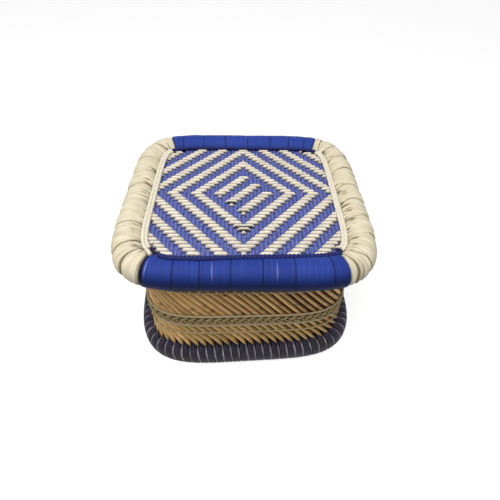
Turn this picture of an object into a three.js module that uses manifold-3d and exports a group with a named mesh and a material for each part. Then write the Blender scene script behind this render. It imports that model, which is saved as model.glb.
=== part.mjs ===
// Mudda stool: a hollow drum of two crossed layers of reeds stands on a wrapped base ring and
// carries a thick wrapped rim, with a seat woven across the rim and twine lashed round the waist.
// Millimetres, +Z up, front towards -Y, origin on the floor at the middle of the stool.

import * as THREE from 'three';
import Module from 'manifold-3d';
import { mergeVertices } from 'three/addons/utils/BufferGeometryUtils.js';

const wasm = await Module();
wasm.setup();

// Overall size
const overallWidth = 406;
const overallDepth = 398;
const overallHeight = 242;
const clearance = 0.3;

// A corner share says how far the plan of a ring reaches towards the corner of its square

// Rim: a ring of bundled grass with strips wound round it, blue at the front and back
const rimRadius = 24;
const rimCornerShare = 0.8874;
const rimCoreSides = 8;
const rimCoreGap = 3;
const rimWrapSkin = 4;
const rimWrapCrown = 2;
const rimWrapTurns = { front: 7, right: 9, back: 7, left: 9 };
const rimWrapSteps = 12;

// Base ring: the same build, smaller, wound in navy and flat where it stands on the floor.
// Its centreline spreads past the drum's outline.
const baseSpreadWide = 5.5;
const baseSpreadDeep = 1;
const baseCornerShare = 0.8543;
const baseThickness = 32;
const baseHeight = 36;
const baseRoundness = 2.5;
const baseTwist = THREE.MathUtils.degToRad(3.4);
const baseCoreSides = 6;
const baseCoreGapWide = 3;
const baseCoreGapHigh = 1.5;
const baseWrapSkin = 3;
const baseWrapTurns = { front: 11, right: 11, back: 11, left: 11 };
const baseWrapSteps = 8;
const floorFlat = 0.5;

// Space between one turn of a winding and the next
const turnGap = 1.2;

// Reed drum: two layers that lean opposite ways, inside the rim's centreline, drawn in at the waist
const drumInsetWide = 6.5;
const drumInsetDeep = 6;
const drumCornerShare = 0.8655;
const waistDepth = 2.5;
const reedThickness = 9.6;
const reedLean = THREE.MathUtils.degToRad(38);
const reedSpacing = 1.2;
const layerGap = 1.5;
const outerBundles = 18;
const outerPerBundle = 5;
const outerSides = 5;
const innerBundles = 16;
const innerPerBundle = 4;
const innerSides = 4;
const innerReedWidth = 9;
const endSeatShare = 0.8;

// Twine round the drum: a band at the waist, a lashing below it and one above it. A share says how
// far up the reeds each lies, from the base ring to the rim.
const waistBandShare = 0.42;
const waistBandHeight = 26;
const waistCordSize = 4;
const lacingSize = 2.6;
const lacingPeaks = 36;
const lowerLashingShare = 0.22;
const lowerLashingSize = 3.6;
const upperLashingShare = 0.85;
const upperLashingSize = 3.2;
const twineSides = 4;

// Seat: blue lengthwise cords, with cream crosswise cords that rise through them as diamonds
const seatDrop = 14.5;
const warpThickness = 4.7;
const weftThickness = 2.5;
const floatRise = 1.5;
const warpPitch = 6.67;
const weftPitch = 7.8;
const weaveBreak = 3;
const weaveCentreX = -2;
const weaveCentreY = 5;

// The pattern, counted in cords: a raised cream cord crosses some blue ones, and the diamonds and
// the strokes in the middle repeat after some cords
const floatWarps = 3;
const diamondWarps = 6;
const innerDiamondWarps = 12;
const diamondCount = 5;
const strokeWarps = 7;

// Plaited cords that cover the seat's edge beside the rim
const edgeCordWidth = 12;
const edgeCordHeight = 8;

// Most that a straight facet may cut inside the curve that it follows
const facetDepth = 0.8;
const surveyPitch = overallWidth / 200;

const materials = {
  blue: new THREE.MeshStandardMaterial({ color: '#3a489f', roughness: 0.55, flatShading: true }),
  cream: new THREE.MeshStandardMaterial({ color: '#ddd2b2', roughness: 0.8, flatShading: true }),
  navy: new THREE.MeshStandardMaterial({ color: '#23264f', roughness: 0.7, flatShading: true }),
  reed: new THREE.MeshStandardMaterial({ color: '#b4905c', roughness: 0.6, flatShading: true }),
  shadeReed: new THREE.MeshStandardMaterial({ color: '#8f6c3c', roughness: 0.7, flatShading: true }),
  twine: new THREE.MeshStandardMaterial({ color: '#9c9468', roughness: 0.9, flatShading: true }),
  grass: new THREE.MeshStandardMaterial({ color: '#a58d5c', roughness: 0.9, flatShading: true }),
};

// Radius of a rounded box outline at an angle: a roundness of 2 is an ellipse, more is squarer
function outlineRadius(halfWide, halfHigh, roundness, angle) {
  const wide = Math.abs(Math.cos(angle) / halfWide) ** roundness;
  const high = Math.abs(Math.sin(angle) / halfHigh) ** roundness;
  return (wide + high) ** (-1 / roundness);
}

// A rounded square seen from above, from the middle of the front towards +X and round
class PlanCurve extends THREE.Curve {
  constructor(halfWide, halfDeep, cornerShare) {
    super();
    this.arcLengthDivisions = 720;
    this.halfWide = halfWide;
    this.halfDeep = halfDeep;
    this.roundness = -1 / Math.log2(cornerShare);
  }

  getPoint(t, target = new THREE.Vector3()) {
    const angle = (t - 1 / 4) * 2 * Math.PI;
    const radius = outlineRadius(this.halfWide, this.halfDeep, this.roundness, angle);
    return target.set(radius * Math.cos(angle), radius * Math.sin(angle), 0);
  }

  // The point at a distance along the curve, moved outwards and set at a height
  place(along, outwards, height) {
    const share = THREE.MathUtils.euclideanModulo(along / this.getLength(), 1);
    const tangent = this.getTangentAt(share);
    const point = this.getPointAt(share);
    return point.set(point.x + tangent.y * outwards, point.y - tangent.x * outwards, height);
  }

  heading(along) {
    const tangent = this.getTangentAt(THREE.MathUtils.euclideanModulo(along / this.getLength(), 1));
    return Math.atan2(tangent.y, tangent.x);
  }

  // How far the curve turns between two distances along it
  turning(from, to) {
    const pieces = Math.max(1, Math.ceil(Math.abs(to - from) / surveyPitch));
    let turned = 0;
    for (let k = 0; k < pieces; k += 1) {
      const start = this.heading(THREE.MathUtils.lerp(from, to, k / pieces));
      const end = this.heading(THREE.MathUtils.lerp(from, to, (k + 1) / pieces));
      turned += Math.abs(Math.atan2(Math.sin(end - start), Math.cos(end - start)));
    }
    return turned;
  }

  // Distances along the curve that lie closer together where it bends
  stations(from, to) {
    const marks = [from];
    const pieces = Math.ceil((to - from) / surveyPitch);
    let turned = 0;
    for (let k = 1; k <= pieces; k += 1) {
      const before = THREE.MathUtils.lerp(from, to, (k - 1) / pieces);
      const here = THREE.MathUtils.lerp(from, to, k / pieces);
      turned += this.turning(before, here);
      const depth = ((here - marks.at(-1)) * turned) / 8;
      if (depth > facetDepth || k === pieces) {
        marks.push(here);
        turned = 0;
      }
    }
    return marks;
  }

  // How many straight pieces follow the curve from one distance to another
  piecesFor(from, to) {
    const depth = (Math.abs(to - from) * this.turning(from, to)) / 8;
    return Math.max(1, Math.ceil(Math.sqrt(depth / facetDepth)));
  }

  distanceFrom(x, y) {
    this.survey ??= this.getSpacedPoints(720);
    return Math.min(...this.survey.map((point) => Math.hypot(point.x - x, point.y - y)));
  }
}

const rimHalfWide = overallWidth / 2 - rimRadius;
const rimHalfDeep = overallDepth / 2 - rimRadius;
const rimHeight = overallHeight - rimRadius;
const drumHalfWide = rimHalfWide - drumInsetWide;
const drumHalfDeep = rimHalfDeep - drumInsetDeep;
const rimCurve = new PlanCurve(rimHalfWide, rimHalfDeep, rimCornerShare);
const drumCurve = new PlanCurve(drumHalfWide, drumHalfDeep, drumCornerShare);
const baseCurve = new PlanCurve(drumHalfWide + baseSpreadWide, drumHalfDeep + baseSpreadDeep, baseCornerShare);

// Flips a mesh whose faces point inwards, by the sign of its volume
function outwardIndex(points, index) {
  let volume = 0;
  const cross = new THREE.Vector3();
  for (let k = 0; k < index.length; k += 3) {
    cross.crossVectors(points[index[k + 1]], points[index[k + 2]]);
    volume += points[index[k]].dot(cross);
  }
  return volume < 0 ? index.reverse() : index;
}

function closedGeometry(points, index) {
  const geometry = new THREE.BufferGeometry();
  geometry.setAttribute('position', new THREE.Float32BufferAttribute(points.flatMap((p) => p.toArray()), 3));
  geometry.setIndex(outwardIndex(points, index));
  geometry.computeVertexNormals();
  return geometry;
}

// Two triangles for each side between two rings of corners
function bandIndex(first, second, count) {
  const index = [];
  for (let k = 0; k < count; k += 1) {
    const next = (k + 1) % count;
    index.push(first + k, first + next, second + next, first + k, second + next, second + k);
  }
  return index;
}

function fanIndex(first, count, reversed) {
  const index = [];
  for (let k = 1; k + 1 < count; k += 1) {
    index.push(first, first + (reversed ? k + 1 : k), first + (reversed ? k : k + 1));
  }
  return index;
}

// A skin over rings of corners: a ring closed on itself, or a bar with an end face at each end
function skinned(rings, closed) {
  const count = rings[0].length;
  const index = [];
  const spans = closed ? rings.length : rings.length - 1;
  for (let k = 0; k < spans; k += 1) {
    index.push(...bandIndex(k * count, ((k + 1) % rings.length) * count, count));
  }
  if (!closed) {
    index.push(...fanIndex(0, count, true));
    index.push(...fanIndex((rings.length - 1) * count, count, false));
  }
  return closedGeometry(rings.flat(), index);
}

// A ring or bar of one section, [outwards, up] pairs, along a plan curve
function ringBar(curve, section, height, from, to) {
  const closed = from === undefined;
  const marks = closed ? curve.stations(0, curve.getLength()).slice(0, -1) : curve.stations(from, to);
  const rings = marks.map((along) => section.map(([out, up]) => curve.place(along, out, height + up)));
  return skinned(rings, closed);
}

function roundSection(halfWide, halfHigh, sides, roundness = 2) {
  return Array.from({ length: sides }, (unused, k) => {
    const angle = ((k + 1 / 2) / sides) * 2 * Math.PI;
    const radius = outlineRadius(halfWide, halfHigh, roundness, angle);
    return [radius * Math.cos(angle), radius * Math.sin(angle)];
  });
}

// Least distance between the facing edges of neighbouring turns, at the points of the strip
function leastTurnGap(rings, stepsPerTurn, section) {
  const edgesAt = (edgeShare) => section.flatMap(([share], k) => (share === edgeShare ? [k] : []));
  const nearEdges = edgesAt(0);
  const farEdges = edgesAt(1);
  let least = Infinity;
  for (let k = 0; k + stepsPerTurn < rings.length; k += 1) {
    farEdges.forEach((edge, side) => {
      const from = rings[k][edge];
      [-1, 0, 1].forEach((shift) => {
        const facing = rings[Math.min(k + stepsPerTurn + shift, rings.length - 1)];
        least = Math.min(least, from.distanceTo(facing[nearEdges[side]]));
      });
    });
  }
  return least;
}

// A strip wound round a ring as one unbroken bar. The roll's outline is given as half sizes and
// a roundness, the strip's section as [share of its width, depth below the outline] pairs. The
// hand is 1 where the strip climbs the outer side towards the next turn, and -1 where it drops.
function woundStrip(name, winding, firstTurn, turns) {
  const { curve, height, halfWide, halfHigh, roundness, totalTurns, steps, startAngle, hand, section } = winding;
  const pitch = curve.getLength() / totalTurns;
  const width = pitch - turnGap;
  const crestShare = (Math.PI / 2 - startAngle) / (2 * Math.PI);
  const rings = [];
  for (let k = 0; k < turns * steps; k += 1) {
    const angle = startAngle + (k / steps) * 2 * Math.PI;
    const start = (firstTurn - crestShare + k / steps) * pitch;
    rings.push(section.map(([share, depth]) => {
      const radius = outlineRadius(halfWide - depth, halfHigh - depth, roundness, angle);
      const up = Math.max(height + radius * Math.sin(angle), 0);
      return curve.place(start + share * width, hand * radius * Math.cos(angle), up);
    }));
  }
  const gap = leastTurnGap(rings, steps, section);
  console.log(`${name}: ${turns} turns, least gap between turns ${gap.toFixed(2)} mm`);
  return skinned(rings, false);
}

const rimWinding = {
  curve: rimCurve,
  height: rimHeight,
  halfWide: rimRadius,
  halfHigh: rimRadius,
  roundness: 2,
  totalTurns: Object.values(rimWrapTurns).reduce((sum, turns) => sum + turns),
  steps: rimWrapSteps,
  startAngle: THREE.MathUtils.degToRad(-150),
  hand: 1,
  section: [
    [0, rimWrapSkin],
    [1 / 2, rimWrapSkin],
    [1, rimWrapSkin],
    [1, rimWrapCrown],
    [1 / 2, 0],
    [0, rimWrapCrown],
  ],
};

// Half a step either side of straight down, so that a flat face of each turn lies on the floor
const baseFootAngle = -Math.PI / 2 - Math.PI / baseWrapSteps;
const baseFootRadius = outlineRadius(baseThickness / 2, baseHeight / 2, baseRoundness, baseFootAngle);
const baseMiddle = -baseFootRadius * Math.sin(baseFootAngle) - floorFlat;

const baseWinding = {
  curve: baseCurve,
  height: baseMiddle,
  halfWide: baseThickness / 2,
  halfHigh: baseHeight / 2,
  roundness: baseRoundness,
  totalTurns: Object.values(baseWrapTurns).reduce((sum, turns) => sum + turns),
  steps: baseWrapSteps,
  startAngle: baseFootAngle - (2 * Math.PI) / baseWrapSteps,
  hand: -1,
  section: [
    [0, baseWrapSkin],
    [1, baseWrapSkin],
    [1, 0],
    [0, 0],
  ],
};

// Height at which a reed's end meets the underside of the rim
function underRim(x, y) {
  const reach = rimRadius + clearance + reedThickness ** 2 / (8 * rimRadius);
  const aside = Math.min(rimCurve.distanceFrom(x, y), endSeatShare * reach);
  return rimHeight - Math.sqrt(reach ** 2 - aside ** 2);
}

// Height at which a reed's end meets the top of the base ring, which is turned by the twist
function overBase(x, y) {
  const margin = clearance + reedThickness ** 2 / (4 * baseThickness);
  const halfWide = baseThickness / 2 + margin;
  const local = new THREE.Vector2(x, y).rotateAround(new THREE.Vector2(), -baseTwist);
  const aside = Math.min(baseCurve.distanceFrom(local.x, local.y) / halfWide, endSeatShare);
  const drop = (1 - aside ** baseRoundness) ** (1 / baseRoundness);
  return baseMiddle + (baseHeight / 2 + margin) * drop;
}

const reedTop = rimHeight - rimRadius;
const reedFoot = baseMiddle + baseHeight / 2;
const reedRun = (reedTop - reedFoot) * Math.tan(reedLean);
const drumMiddle = (reedTop + reedFoot) / 2;

// A height on the drum, as a share of the way from the foot of the reeds to their top
function upReeds(share) {
  return THREE.MathUtils.lerp(reedFoot, reedTop, share);
}

const waistBandMiddle = upReeds(waistBandShare);

// A point on the drum: its outline is drawn in at the waist and twists towards the base
function drumPoint(along, outwards, height) {
  const fromMiddle = (height - drumMiddle) / (reedTop - drumMiddle);
  const drawnIn = waistDepth * (1 - Math.min(fromMiddle ** 2, 1));
  const point = drumCurve.place(along, outwards - drawnIn, height);
  return point.applyAxisAngle(new THREE.Vector3(0, 0, 1), baseTwist * (1 - height / rimHeight));
}

// Reeds side by side, held together behind the waist band by a tie from each to the next
function reedBundle(layer, number) {
  const { sides, perBundle, bundles, width, depth, leanSign } = layer;
  const pitch = drumCurve.getLength() / (perBundle * bundles);
  const tieLow = waistBandMiddle - waistBandHeight / 4;
  const tieHigh = waistBandMiddle + waistBandHeight / 4;
  const corners = Array.from({ length: sides }, (unused, k) => {
    const angle = Math.PI / 2 + (k / sides) * 2 * Math.PI;
    return [Math.cos(angle) * (width / 2), Math.sin(angle) * (reedThickness / 2) - depth];
  });
  const right = sides - Math.floor(sides / 4);
  const left = Math.floor(sides / 4);
  const points = [];
  const index = [];
  let tieBefore;
  for (let k = 0; k < perBundle; k += 1) {
    const foot = (number * perBundle + k) * pitch + leanSign * (reedRun / 2);
    const alongAt = (height) => foot - leanSign * reedRun * ((height - reedFoot) / (reedTop - reedFoot));
    const ringAt = (heightOf) => corners.map(([across, out]) => {
      const rough = heightOf();
      const first = drumPoint(alongAt(rough) + across, out, rough);
      const height = heightOf(first);
      return drumPoint(alongAt(height) + across, out, height);
    });
    const between = (low, high) => {
      const pieces = drumCurve.piecesFor(alongAt(low), alongAt(high));
      return Array.from({ length: pieces - 1 }, (unused, m) => {
        const height = THREE.MathUtils.lerp(low, high, (m + 1) / pieces);
        return ringAt(() => height);
      });
    };
    const rings = [
      ringAt((point) => (point ? overBase(point.x, point.y) : reedFoot)),
      ...between(reedFoot, tieLow),
      ringAt(() => tieLow),
      ringAt(() => tieHigh),
      ...between(tieHigh, reedTop),
      ringAt((point) => (point ? underRim(point.x, point.y) : reedTop)),
    ];
    const tieSpan = 1 + between(reedFoot, tieLow).length;
    const base = points.length;
    const ringStart = (m) => base + m * sides;
    rings.forEach((ring) => points.push(...ring));
    for (let m = 0; m + 1 < rings.length; m += 1) {
      for (let side = 0; side < sides; side += 1) {
        const next = (side + 1) % sides;
        const tiedRight = m === tieSpan && side === right - 1 && k + 1 < perBundle;
        const tiedLeft = m === tieSpan && side === left && k > 0;
        if (!tiedRight && !tiedLeft) {
          const low = ringStart(m);
          const high = ringStart(m + 1);
          index.push(low + side, low + next, high + next, low + side, high + next, high + side);
        }
      }
    }
    index.push(...fanIndex(ringStart(0), sides, true));
    index.push(...fanIndex(ringStart(rings.length - 1), sides, false));
    const low = ringStart(tieSpan);
    const high = ringStart(tieSpan + 1);
    if (tieBefore) {
      // The left face of this reed, opened, joins the opened right face of the one before
      const here = [low + left, low + left + 1, high + left + 1, high + left];
      index.push(...bridgeIndex(tieBefore, here));
    }
    const front = right % sides;
    tieBefore = [low + front, low + right - 1, high + right - 1, high + front];
  }
  return closedGeometry(points, index);
}

// Four faces from the rim of one opening to the rim of the opening that faces it
function bridgeIndex(from, to) {
  const index = [];
  for (let k = 0; k < from.length; k += 1) {
    const next = (k + 1) % from.length;
    index.push(from[k], to[next], from[next], from[k], to[k], to[next]);
  }
  return index;
}

const outerLayer = {
  sides: outerSides,
  perBundle: outerPerBundle,
  bundles: outerBundles,
  width: drumCurve.getLength() / (outerBundles * outerPerBundle) - reedSpacing / Math.cos(reedLean),
  depth: reedThickness / 2,
  leanSign: 1,
};

// A section with an odd number of sides has a flat back, which is nearer than its front corner
const outerBack = outerSides % 2 === 0 ? 1 : Math.cos(Math.PI / outerSides);

const innerLayer = {
  sides: innerSides,
  perBundle: innerPerBundle,
  bundles: innerBundles,
  width: innerReedWidth / Math.cos(reedLean),
  depth: (reedThickness / 2) * (1 + outerBack) + layerGap + reedThickness / 2,
  leanSign: -1,
};

// Reeds run straight between their corners, so twine stands off the drum by what they bulge
const twineStandoff = clearance + waistDepth / 4 + facetDepth;

// The twine's flats, not its corners, are its size apart
function twineSection(size) {
  const half = size / 2 / Math.cos(Math.PI / twineSides);
  return roundSection(half, half, twineSides);
}

// One cord lying against the reeds at a height, right round the drum
function lashing(height, size) {
  const section = twineSection(size);
  const marks = drumCurve.stations(0, drumCurve.getLength()).slice(0, -1);
  const middle = twineStandoff + size / 2;
  const rings = marks.map((along) => section.map(([out, up]) => drumPoint(along, middle + out, height + up)));
  return skinned(rings, true);
}

// A cord that zigzags between the two cords of the waist band
function zigzagLacing() {
  const swing = waistBandHeight / 2 - waistCordSize - clearance * 2 - lacingSize / 2;
  const section = twineSection(lacingSize);
  const pitch = drumCurve.getLength() / lacingPeaks;
  const middle = twineStandoff + lacingSize / 2;
  const rings = [];
  for (let k = 0; k < lacingPeaks * 2; k += 1) {
    const along = (k * pitch) / 2;
    const height = waistBandMiddle + (k % 2 === 0 ? swing : -swing);
    rings.push(section.map(([out, up]) => drumPoint(along, middle + out, height + up)));
  }
  return skinned(rings, true);
}

function solidOf(geometry) {
  geometry.deleteAttribute('normal');
  geometry.deleteAttribute('uv');
  const merged = mergeVertices(geometry);
  return new wasm.Manifold(new wasm.Mesh({
    numProp: 3,
    vertProperties: new Float32Array(merged.attributes.position.array),
    triVerts: new Uint32Array(merged.index.array),
  }));
}

function geometryOf(solid) {
  const mesh = solid.getMesh();
  const geometry = new THREE.BufferGeometry();
  geometry.setAttribute('position', new THREE.BufferAttribute(mesh.vertProperties, 3));
  geometry.setIndex(new THREE.BufferAttribute(mesh.triVerts, 1));
  geometry.computeVertexNormals();
  return geometry;
}

// An upright prism over plan points, between two heights
function prism(outline, low, high) {
  const geometry = new THREE.ExtrudeGeometry(new THREE.Shape(outline), { depth: high - low, bevelEnabled: false });
  return solidOf(geometry.translate(0, 0, low));
}

const seatTop = overallHeight - seatDrop;
const warpUnderside = seatTop - warpThickness;
const weftTop = warpUnderside - clearance;
const weftUnderside = weftTop - weftThickness;

// How far the rim's faceted winding reaches from its centreline at a height
function rimReach(height) {
  const step = (2 * Math.PI) / rimWrapSteps;
  const lift = (height - rimHeight) / rimRadius;
  const corner = Math.floor(Math.asin(lift) / step) * step;
  const share = (lift - Math.sin(corner)) / (Math.sin(corner + step) - Math.sin(corner));
  return rimRadius * THREE.MathUtils.lerp(Math.cos(corner), Math.cos(corner + step), share);
}

// Two strands side by side, cut away below beside the rim: [share of the width, share of the height]
const edgeCordLeanShare = 0.45;
const edgeCordShares = [
  [-0.5, 0],
  [0.2, 0],
  [0.5, edgeCordLeanShare],
  [0.5, 0.6],
  [0.27, 1],
  [0, 0.62],
  [-0.27, 1],
  [-0.5, 0.5],
];

const edgeCordInset = rimReach(seatTop + edgeCordLeanShare * edgeCordHeight) + clearance * 2;
const weaveHalfWide = rimHalfWide - edgeCordInset - edgeCordWidth;
const weaveHalfDeep = rimHalfDeep - edgeCordInset - edgeCordWidth;

const seatInset = rimReach(Math.max(weftUnderside, rimHeight)) + clearance * 2;
const weaveInset = edgeCordInset + edgeCordWidth + clearance + facetDepth;
const floatLength = floatWarps * warpPitch;
const weaveStretch = weftPitch / warpPitch;

// The rim's outline moved inwards
function insetOutline(inset) {
  const marks = rimCurve.stations(0, rimCurve.getLength()).slice(0, -1);
  return marks.map((along) => rimCurve.place(along, -inset, 0));
}

// Each raised band of crosswise cord is a bar between two levels of Y, cut square across
function bar(startX, startY, endX, endY) {
  return { startX, startY, endX, endY };
}

// One side of a diamond, from its side corner towards its front or back corner, kept inside the weave
function diamondSide(halfWide, sideX, sideY) {
  const halfDeep = halfWide * weaveStretch;
  const limitX = weaveHalfWide - sideX * weaveCentreX;
  const limitY = weaveHalfDeep - sideY * weaveCentreY;
  const owner = sideX > 0 ? 0 : floatLength / 2 + weaveBreak;
  const low = Math.max(weaveBreak / 2, halfDeep * (1 - limitX / halfWide));
  const high = Math.min(halfDeep * (1 - owner / halfWide), limitY);
  const xAt = (y) => weaveCentreX + sideX * halfWide * (1 - y / halfDeep);
  return high - low < floatLength / 2
    ? undefined
    : bar(xAt(low), weaveCentreY + sideY * low, xAt(high), weaveCentreY + sideY * high);
}

function weaveBars() {
  const bars = [];
  for (let ring = 0; ring < diamondCount; ring += 1) {
    const halfWide = (innerDiamondWarps + ring * diamondWarps) * warpPitch;
    [-1, 1].forEach((sideX) => {
      [-1, 1].forEach((sideY) => bars.push(diamondSide(halfWide, sideX, sideY)));
    });
  }
  for (let stroke = -1; stroke <= 1; stroke += 1) {
    const middleX = weaveCentreX + (stroke * diamondWarps * warpPitch) / 2;
    const middleY = weaveCentreY - (stroke * diamondWarps * weftPitch) / 2;
    const halfWide = (strokeWarps * warpPitch) / 2;
    const halfDeep = (strokeWarps * weftPitch) / 2;
    bars.push(bar(middleX - halfWide, middleY - halfDeep, middleX + halfWide, middleY + halfDeep));
  }
  return bars.filter((one) => one !== undefined);
}

// The plan of one bar, grown all round by a margin
function barOutline({ startX, startY, endX, endY }, margin) {
  const rise = Math.sign(endY - startY);
  const slope = (endX - startX) / (endY - startY);
  const half = floatLength / 2 + margin * Math.hypot(1, slope);
  const low = startY - rise * margin;
  const high = endY + rise * margin;
  const lowX = startX - rise * margin * slope;
  const highX = endX + rise * margin * slope;
  const outline = [
    new THREE.Vector2(lowX - half, low),
    new THREE.Vector2(lowX + half, low),
    new THREE.Vector2(highX + half, high),
    new THREE.Vector2(highX - half, high),
  ];
  return rise > 0 ? outline : outline.reverse();
}

// The raised bands, grown by a margin and cut off where the weave meets the edge cords
function raisedBands(margin, low, high) {
  const blocks = weaveBars().map((one) => prism(barOutline(one, margin), low, high));
  const joined = blocks.reduce((sum, block) => sum.add(block));
  return joined.intersect(prism(insetOutline(weaveInset - margin), low, high));
}

function seatWarp() {
  const cords = prism(insetOutline(seatInset), warpUnderside, seatTop);
  return geometryOf(cords.subtract(raisedBands(clearance, weftTop, seatTop + floatRise)));
}

function seatWeft() {
  const cords = prism(insetOutline(seatInset), weftUnderside, weftTop);
  return geometryOf(cords.add(raisedBands(0, weftTop - weftThickness / 2, seatTop + floatRise)));
}

function edgeCord(side) {
  const length = rimCurve.getLength();
  const middle = -edgeCordInset - edgeCordWidth / 2;
  const section = edgeCordShares.map(([across, up]) => [middle + across * edgeCordWidth, up * edgeCordHeight]);
  const from = ((side - 1 / 2) / 4) * length + clearance;
  const to = ((side + 1 / 2) / 4) * length - clearance;
  return ringBar(rimCurve, section, seatTop + clearance, from, to);
}

const stool = new THREE.Group();

function add(name, geometry, material, parent = stool) {
  const mesh = new THREE.Mesh(geometry, material);
  mesh.name = name;
  parent.add(mesh);
}

const sideNames = ['front', 'right', 'back', 'left'];

// Base ring, turned a little against the rim
const baseRing = new THREE.Group();
baseRing.rotation.z = baseTwist;
stool.add(baseRing);
const baseCoreHalfWide = baseThickness / 2 - baseWrapSkin - baseCoreGapWide;
const baseCoreHalfHigh = baseHeight / 2 - baseWrapSkin - baseCoreGapHigh;
const baseCoreSection = roundSection(baseCoreHalfWide, baseCoreHalfHigh, baseCoreSides, baseRoundness);
add('base_core', ringBar(baseCurve, baseCoreSection, baseMiddle), materials.grass, baseRing);
let baseTurn = -baseWrapTurns.front / 2;
sideNames.forEach((side) => {
  const name = `base_wrap_${side}`;
  add(name, woundStrip(name, baseWinding, baseTurn, baseWrapTurns[side]), materials.navy, baseRing);
  baseTurn += baseWrapTurns[side];
});

// Reed drum
for (let k = 0; k < outerBundles; k += 1) {
  add(`outer_reeds_${String(k + 1).padStart(2, '0')}`, reedBundle(outerLayer, k), materials.reed);
}
for (let k = 0; k < innerBundles; k += 1) {
  add(`inner_reeds_${String(k + 1).padStart(2, '0')}`, reedBundle(innerLayer, k), materials.shadeReed);
}

// Twine
const waistCordOffset = (waistBandHeight - waistCordSize) / 2;
add('waist_cord_upper', lashing(waistBandMiddle + waistCordOffset, waistCordSize), materials.twine);
add('waist_cord_lower', lashing(waistBandMiddle - waistCordOffset, waistCordSize), materials.twine);
add('waist_lacing', zigzagLacing(), materials.twine);
add('lower_lashing', lashing(upReeds(lowerLashingShare), lowerLashingSize), materials.twine);
add('upper_lashing', lashing(upReeds(upperLashingShare), upperLashingSize), materials.twine);

// Rim
const rimCoreRadius = rimRadius - rimWrapSkin - rimCoreGap;
const rimCoreSection = roundSection(rimCoreRadius, rimCoreRadius, rimCoreSides);
add('rim_core', ringBar(rimCurve, rimCoreSection, rimHeight), materials.grass);
let rimTurn = -rimWrapTurns.front / 2;
sideNames.forEach((side, k) => {
  const name = `rim_wrap_${side}`;
  const material = k % 2 === 0 ? materials.blue : materials.cream;
  add(name, woundStrip(name, rimWinding, rimTurn, rimWrapTurns[side]), material);
  rimTurn += rimWrapTurns[side];
});

// Seat
add('seat_weft', seatWeft(), materials.cream);
add('seat_warp', seatWarp(), materials.blue);
sideNames.forEach((side, k) => {
  const material = k % 2 === 0 ? materials.navy : materials.cream;
  add(`edge_cord_${side}`, edgeCord(k), material);
});

export default stool;
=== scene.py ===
# The finish of a low square reed stool. Its drum of crossed reeds stands on a bound base ring and
# carries a thick bound rim, with a cord seat woven in diamonds.
# Sizes are in millimetres here, and turn into metres when a mesh is made. Only the camera, the
# floor and the lamp are in metres.

import math

import bpy
import numpy as np
from mathutils import Matrix


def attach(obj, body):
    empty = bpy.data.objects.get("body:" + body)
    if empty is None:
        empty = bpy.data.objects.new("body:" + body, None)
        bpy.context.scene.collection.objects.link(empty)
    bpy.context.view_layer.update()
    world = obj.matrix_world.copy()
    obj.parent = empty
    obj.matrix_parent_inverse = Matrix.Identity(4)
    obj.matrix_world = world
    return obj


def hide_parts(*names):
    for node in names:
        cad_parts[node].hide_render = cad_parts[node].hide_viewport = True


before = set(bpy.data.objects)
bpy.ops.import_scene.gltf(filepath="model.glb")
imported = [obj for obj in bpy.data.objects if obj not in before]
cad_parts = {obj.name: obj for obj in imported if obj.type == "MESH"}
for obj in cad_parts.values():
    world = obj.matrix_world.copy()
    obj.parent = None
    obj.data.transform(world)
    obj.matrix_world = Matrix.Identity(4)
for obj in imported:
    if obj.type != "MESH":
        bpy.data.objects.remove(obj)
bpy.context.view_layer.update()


# Camera, floor and light. The camera stands a little left of the stool's middle and looks down at
# 44 degrees. The stool is on a white floor, under a pale sky and one large soft lamp.
picture_side_pixels = 500
focal_length_pixels = 405.5
camera_place = (-0.0079, -0.5635, 0.639)
camera_tilt_down = 0.765
camera_turn = -0.035
camera_roll = 0.027
lens = bpy.data.cameras.new("camera")
lens.lens = lens.sensor_width * focal_length_pixels / picture_side_pixels
camera = bpy.data.objects.new("camera", lens)
bpy.context.scene.collection.objects.link(camera)
camera.matrix_world = (
    Matrix.Translation(camera_place)
    @ Matrix.Rotation(camera_turn, 4, "Z")
    @ Matrix.Rotation(math.pi / 2 - camera_tilt_down, 4, "X")
    @ Matrix.Rotation(camera_roll, 4, "Z")
)
bpy.context.scene.camera = camera
bpy.context.scene.view_settings.view_transform = "Standard"


def add_node(tree, kind, inputs=None, **settings):
    """A shader node with its settings. Each input is a value, or a socket that it's linked from."""
    made = tree.nodes.new("ShaderNode" + kind)
    for name, value in settings.items():
        setattr(made, name, value)
    for name, value in (inputs or {}).items():
        if isinstance(value, bpy.types.NodeSocket):
            tree.links.new(value, made.inputs[name])
        else:
            made.inputs[name].default_value = value
    return made


def calc(tree, operation, first, second, third=0.0):
    """The result of a sum on two or three numbers or sockets."""
    return add_node(tree, "Math", {0: first, 1: second, 2: third}, operation=operation).outputs[0]


def seen_directly(tree):
    """1 where the camera sees a surface, straight or in a mirror or through glass, else 0."""
    path = add_node(tree, "LightPath")
    mirrored = calc(tree, "MAXIMUM", path.outputs["Is Camera Ray"], path.outputs["Is Glossy Ray"])
    return calc(tree, "MAXIMUM", mirrored, path.outputs["Is Transmission Ray"])


sky_light = 0.42
sky = bpy.data.worlds.new("sky")
sky.use_nodes = True
bpy.context.scene.world = sky
sky_surface = sky.node_tree.nodes["Background"]
sky_surface.inputs["Color"].default_value = (1, 1, 1, 1)
sky_strength = calc(sky.node_tree, "MULTIPLY_ADD", seen_directly(sky.node_tree), 1 - sky_light, sky_light)
sky.node_tree.links.new(sky_strength, sky_surface.inputs["Strength"])

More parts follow.
